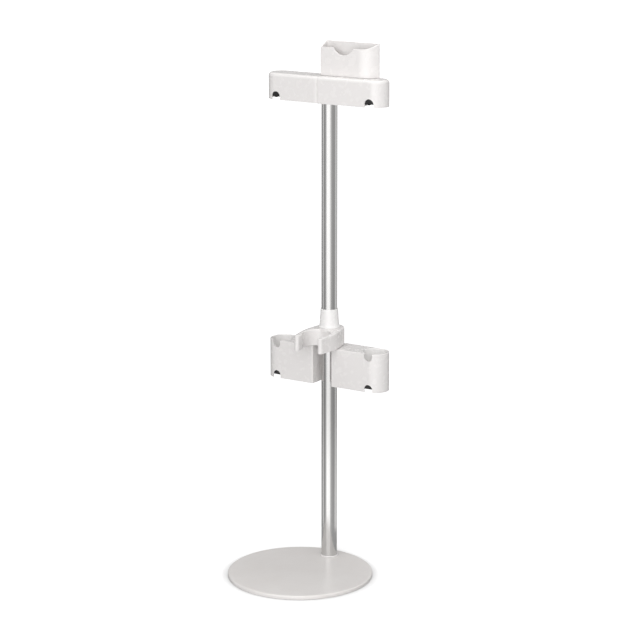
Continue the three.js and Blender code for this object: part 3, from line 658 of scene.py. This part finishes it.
def head_rows(side, inner):
    """One row of points per station: up the front wall, over the top and down the back."""
    rows = []
    low, top, fillet = HEAD_BOTTOM, HEAD_TOP, 8
    for front, back, distance in head_stations(side):
        drop = 0 if inner else seam_round(side, distance)
        radius = fillet - HEAD_WALL if inner else fillet
        levels = [(fillet - radius, low, 0.0), (fillet - radius, top - fillet, 0.0)]
        if not inner:
            levels[:1] = [(0.7, low, 0.0), (0.2, low + 0.2, 0.0), (0, low + 0.7, 0.0)]
        for k in range(1, 13):
            turn = math.pi / 2 * k / 12
            levels.append((fillet - radius * math.cos(turn), top - fillet + radius * math.sin(turn), turn))
        row = []
        for column, order in ((front, levels), (back, levels[::-1])):
            for inset, z, turn in order:
                inset_here = inset + drop * math.cos(turn)
                x = column[0] - column[2] * inset_here if distance else column[0]
                row.append((x, column[1] - column[3] * inset_here, z - drop * math.sin(turn)))
        rows.append(row)
    return rows


def head_shell(side):
    bm = bmesh.new()
    grids = {}
    for inner in (False, True):
        grid = [[bm.verts.new(p) for p in row] for row in head_rows(side, inner)]
        grids[inner] = grid
        for a, b in zip(grid, grid[1:]):
            for j in range(len(a) - 1):
                bm.faces.new((a[j], b[j], b[j + 1], a[j + 1]))
    outer, within = grids[False], grids[True]
    for end in (0, -1):
        for i in range(len(outer) - 1):
            bm.faces.new((outer[i][end], within[i][end], within[i + 1][end], outer[i + 1][end]))
    bm.faces.new(outer[0] + within[0][::-1])
    return cleaned(bm)


def build_head(word, side):
    x = side * HEAD_ARCH_X
    cutters = [prism(u_shape(x, 11.5, 1150.5, 1120), -60, -29, "Y")]
    if side > 0:
        cutters += [rod(4.4, 1180, 1200, (px, PEG_Y), segments=48) for px in POCKET_PEGS]
    shell = combined(head_shell(side), cutters)
    piece(f"{word}_head", shell, "stand", "white_plastic", [f"head_{word}_shell"], bevel=0.4)
    outline = [(side * px, py, side * nx, ny) for (px, py, nx, ny), _, _ in head_stations(side)[10:]]
    low = HEAD_BOTTOM + 7.5
    sleeve = sleeve_body(outline, HEAD_ARCH_X, HEAD_WALL + 0.3, -12, low, 18, side)
    nose = filleted([(0, -28), (3.8, -28), (3.8, -34.4), (2.2, -34.4), (2.2, -31), (0, -31)],
                    [0, 0, 0.6, 0.3, 0.3, 0], 4)
    parts = merged(sleeve, lathe(nose, 40, (x, low + 2), "Y", closed=False))
    piece(f"{word}_head_sleeve", parts, "stand", "black_plastic", [f"{word}_outlet_sleeve"], bevel=0.4)
    for number, (sx, sy) in enumerate(COVER_SCREWS, 1):
        at = (side * sx, sy)
        pan = filleted([(0, 1129.4), (3.2, 1129.4), (3.2, 1131.2), (1.4, 1131.2), (1.4, 1147), (0, 1147)],
                       [0, 1.1, 0.15, 0.1, 0.4, 0], 5)
        screw = combined(lathe(pan, 40, at, closed=False), [hex_socket(1.25, 1129, 1130.6, at)])
        piece(f"{word}_cover_bolt_{number}", screw, "stand", "zinc_steel", [f"{word}_cover_screw_{number}"])


def build_head_cover():
    front = [head_station(1 if x > HEAD_SEAM[0] else -1, x)[0][1] + 3 for x in (-108, HEAD_SEAM[0], 108)]
    corners = [(-108, front[0]), (HEAD_SEAM[0], front[1]), (108, front[2]), (108, 24.7), (-108, 24.7)]
    plate = prism(filleted(corners, [2, 0, 2, 2, 2], 6), COVER_LOW, COVER_TOP)
    cutters = [rod(POLE_R + 0.6, 1130, 1135, segments=96)]
    cutters += [rod(1.8, 1130, 1135, (side * sx, sy), segments=24) for side in (-1, 1) for sx, sy in COVER_SCREWS]
    piece("head_floor", combined(plate, cutters), "stand", "white_plastic", ["head_bottom_cover"], bevel=0.4)


# ---------------------------------------------------------------- pocket
def pocket_outline():
    """Square at the left; the right end is one wide curve from the front wall to the back corner."""
    rise = math.asin((17 - 35) / 42)
    near, far = POCKET_LEFT + 4, POCKET_END + 42 * math.cos(rise)
    front = [(near + (POCKET_END - near) * k / 70, -11, 0, -1) for k in range(1, 70)]
    back = [(far - (far - near) * k / 20, 21, 0, 1) for k in range(1, 20)]
    left = [(POCKET_LEFT, 17 - 1.2 * k, -1, 0) for k in range(1, 20)]
    turn = math.degrees(rise)
    return (arc(near, -7, 4, 180, 270, 8) + front + arc(POCKET_END, 35, 46, 270, 360 + turn, 44)
            + arc(far, 17, 4, turn, 90, 10)[1:] + back + arc(near, 17, 4, 90, 180, 8) + left)


RIM_SWEEP = spline([(-12, 0), (-6, 0.6), (2, 5), (10, 9.4), (18, 12.6), (23, 13)], 8)


def rim_height(x, y):
    """Low at the front with a round scoop, sweeping up along the sides to the back."""
    for (y0, z0), (y1, z1) in zip(RIM_SWEEP, RIM_SWEEP[1:]):
        if y0 <= y <= y1:
            height = 1260 + z0 + (z1 - z0) * (y - y0) / (y1 - y0)
    away = abs(x - 43.5)
    if y < -5 and away < 30:
        height = min(height, 1273.5 - math.sqrt(30 ** 2 - away ** 2))
    return height


def build_pocket():
    outline = pocket_outline()
    low, floor, wall, lip = HEAD_TOP + 0.3, HEAD_TOP + 3.3, 3.0, 1.3
    sections = [(inset, z, None) for inset, z in ((0.7, low), (0.2, low + 0.2), (0, low + 0.7))]
    for k in range(7):
        turn = math.pi / 2 * k / 6
        sections.append((lip - lip * math.cos(turn), 0, lip * math.sin(turn) - lip))
    for k in range(7):
        turn = math.pi / 2 * (1 - k / 6)
        sections.append((wall - lip + lip * math.cos(turn), 0, lip * math.sin(turn) - lip))
    sections += [(wall, floor + 0.9, None), (wall + 0.25, floor + 0.25, None), (wall + 0.9, floor, None)]
    rings = []
    for inset, z, below_rim in sections:
        ring = offset(outline, inset)
        if below_rim is None:
            rings.append([(x, y, z) for x, y in ring])
        else:
            rings.append([(x, y, rim_height(x, y) + below_rim) for x, y in ring])
    peg = filleted([(0, low - 10), (4, low - 10), (4, low + 1), (0, low + 1)], [0, 0.8, 0, 0], 4)
    pegs = [lathe(peg, 40, (px, PEG_Y), closed=False) for px in POCKET_PEGS]
    piece("pocket_tray", merged(rings_mesh(rings), *pegs), "pocket", "white_plastic", ["pocket_shell"], limit=60)
    pad_low = floor + 0.3
    levels = [(3.9, pad_low), (3.6, pad_low + 0.3), (3.6, pad_low + 1.0), (3.75, pad_low + 1.35),
              (3.9, pad_low + 1.5)]
    piece("pocket_felt", rings_mesh(stacked(outline, levels)), "pocket", "grey_felt", ["pocket_pad"])


# ---------------------------------------------------------------- stage
# Floor glow by distance from the middle: kept low round the base as a painted contact shadow, rising to full strength
# far off.
FLOOR_GLOW_WITH_PAINTED_SHADOW = [(0, 0), (BASE_R * MM, 0.1), (0.186, 0.34), (0.205, 0.45), (0.4, 0.5), (5, 1)]


def polar(radius, degrees, z):
    """A point round the object; 0 degrees is the front and 90 the right-hand side."""
    angle = math.radians(degrees)
    return Vector((radius * math.sin(angle), 0.1 - radius * math.cos(angle), z))


def area_light(name, place, target, size, power, mirrored=True):
    light = bpy.data.lights.new(name, "AREA")
    light.shape, light.size, light.size_y, light.energy = "RECTANGLE", size[0], size[1], power
    made = bpy.data.objects.new(name, light)
    made.location = place
    made.rotation_euler = (Vector(target) - place).to_track_quat("-Z", "Y").to_euler()
    made.visible_glossy = mirrored
    bpy.context.scene.collection.objects.link(made)


def plain_emitter(name):
    material = bpy.data.materials.new(name)
    material.use_nodes = True
    tree = material.node_tree
    tree.nodes.clear()
    emission = tree.nodes.new("ShaderNodeEmission")
    out = tree.nodes.new("ShaderNodeOutputMaterial")
    tree.links.new(emission.outputs["Emission"], out.inputs["Surface"])
    return material


def reflection_ring(name, glow, profile):
    """A band round the object that only shows in reflections.

    glow is (degrees, strength), blended between; profile is (radius, height, scale) for each edge of the band.
    """
    steps, rows, verts, faces, strengths = 240, len(profile), [], [], []
    for k in range(steps + 1):
        degrees = -180 + 360 * k / steps
        for (a0, s0), (a1, s1) in zip(glow, glow[1:]):
            if a0 <= degrees <= a1:
                strength = s0 + (s1 - s0) * (degrees - a0) / (a1 - a0)
        verts += [polar(radius, degrees, z) for radius, z, _ in profile]
        strengths += [strength * scale for _, _, scale in profile]
    for k in range(steps):
        for j in range(k * rows, k * rows + rows - 1):
            faces.append((j, j + rows, j + rows + 1, j + 1))
    material = plain_emitter(name)
    made = stage_mesh(name, verts, faces, material)
    layer = made.data.attributes.new("glow", "FLOAT", "POINT")
    layer.data.foreach_set("value", strengths)
    tree = material.node_tree
    reader = tree.nodes.new("ShaderNodeAttribute")
    reader.attribute_name = "glow"
    tree.links.new(reader.outputs["Fac"], tree.nodes["Emission"].inputs["Strength"])
    made.visible_camera = made.visible_diffuse = made.visible_shadow = False


def stage_mesh(name, verts, faces, material):
    mesh = bpy.data.meshes.new(name)
    mesh.from_pydata(verts, [], faces)
    mesh.materials.append(material)
    made = bpy.data.objects.new(name, mesh)
    bpy.context.scene.collection.objects.link(made)
    made.visible_transmission = made.visible_volume_scatter = False
    return made


def floor_material(name, albedo, glow=()):
    """Matt floor; glow is (distance from the middle, strength): held low round the base as a painted contact shadow,
    and rising outward to an evenly bright floor far off.
    """
    material = bpy.data.materials.new(name)
    material.use_nodes = True
    tree = material.node_tree
    shader = tree.nodes["Principled BSDF"]
    shader.inputs["Base Color"].default_value = (albedo, albedo, albedo, 1)
    shader.inputs["Roughness"].default_value = 0.9
    shader.inputs["Specular IOR Level"].default_value = 0.0
    if glow:
        shader.inputs["Emission Color"].default_value = (1, 1, 1, 1)
        place = tree.nodes.new("ShaderNodeTexCoord")
        length = tree.nodes.new("ShaderNodeVectorMath")
        length.operation = "LENGTH"
        tree.links.new(place.outputs["Object"], length.inputs[0])
        share = tree.nodes.new("ShaderNodeMath")
        share.operation, share.inputs[1].default_value = "DIVIDE", glow[-1][0]
        tree.links.new(length.outputs["Value"], share.inputs[0])
        # The ramp dims the floor's glow round the base: a painted contact shadow.
        ramp = tree.nodes.new("ShaderNodeValToRGB")
        while len(ramp.color_ramp.elements) < len(glow):
            ramp.color_ramp.elements.new(0.5)
        for stop, (distance, strength) in zip(ramp.color_ramp.elements, glow):
            stop.position, stop.color = distance / glow[-1][0], (strength, strength, strength, 1)
        tree.links.new(share.outputs["Value"], ramp.inputs["Fac"])
        tree.links.new(ramp.outputs["Color"], shader.inputs["Emission Strength"])
        mix = tree.nodes.new("ShaderNodeMixShader")
        tree.links.new(tree.nodes.new("ShaderNodeNewGeometry").outputs["Backfacing"], mix.inputs["Fac"])
        tree.links.new(shader.outputs["BSDF"], mix.inputs[1])
        tree.links.new(tree.nodes.new("ShaderNodeBsdfTransparent").outputs["BSDF"], mix.inputs[2])
        tree.links.new(mix.outputs["Shader"], tree.nodes["Material Output"].inputs["Surface"])
    return material


def build_floor():
    """The floor that is seen from above, and a darker one just below it that lights and reflects in the object."""
    for name, reach, z, material in (("floor", 40, 0.0, floor_material("floor", 0.8, FLOOR_GLOW_WITH_PAINTED_SHADOW)),
                                     ("floor_bounce", 4, -0.001, floor_material("floor_bounce", 0.5))):
        verts = [(-reach, -reach, z), (reach, -reach, z), (reach, reach, z), (-reach, reach, z)]
        made = stage_mesh(name, verts, [(0, 1, 2, 3)], material)
        seen = name == "floor"
        made.visible_camera, made.visible_diffuse, made.visible_glossy = seen, not seen, not seen
        made.visible_shadow = seen


def build_lights():
    target = (0, 0.1, 0.85)
    area_light("key", polar(3.2, 17, 1.6), target, (2.9, 2.9), 74)
    area_light("overhead", Vector((0, 0.1, 3.4)), (0, 0.1, 0), (2.6, 2.6), 45)
    area_light("side_fill", polar(3.2, 84, 1.4), target, (2.4, 2.4), 22, mirrored=False)
    around = [(-180, 0.9), (-158, 0.9), (-150, 0.3), (-84, 0.28), (-78, 0.9), (-66, 0.9), (-60, 0.36), (-30, 0.36),
              (-12, 0.8), (-6, 1.4), (38, 1.4), (46, 0.9), (66, 0.45), (110, 0.38), (122, 0.5), (130, 0.85),
              (150, 0.85), (156, 0.32), (172, 0.4), (180, 0.9)]
    reflection_ring("ring_wall", around, [(2.6, 0.0, 1.0), (2.6, 1.4, 1.0)])
    floor_scales = ((0.26, 1.15), (0.8, 1.05), (1.4, 0.76), (2.6, 0.85))
    reflection_ring("ring_floor", around, [(radius, 0.0015, scale) for radius, scale in floor_scales])
    world = bpy.data.worlds.new("studio")
    world.use_nodes = True
    world.node_tree.nodes["Background"].inputs["Color"].default_value = (1, 1, 1, 1)
    world.node_tree.nodes["Background"].inputs["Strength"].default_value = 0.3
    bpy.context.scene.world = world


def build_camera():
    camera = bpy.data.cameras.new("camera")
    camera.sensor_width, camera.lens = 36, 125.44
    camera.clip_start, camera.clip_end = 0.05, 200
    back = Vector((0.517168, -0.822402, 0.237050)).normalized()
    right = Vector((0, 0, 1)).cross(back).normalized()
    up = back.cross(right)
    made = bpy.data.objects.new("camera", camera)
    turn = Matrix((right, up, back)).transposed().to_4x4()
    made.matrix_world = Matrix.Translation((2.7475, -4.2788, 1.8728)) @ turn
    bpy.context.scene.collection.objects.link(made)
    bpy.context.scene.camera = made


build_base()
build_pole()
build_carriage()
build_fork()
build_yoke()
for word, side in (("left", -1), ("right", 1)):
    build_pod(word, side)
    build_head(word, side)
build_head_cover()
build_pocket()
build_floor()
build_lights()
build_camera()
bpy.context.scene.view_settings.view_transform = "Standard"
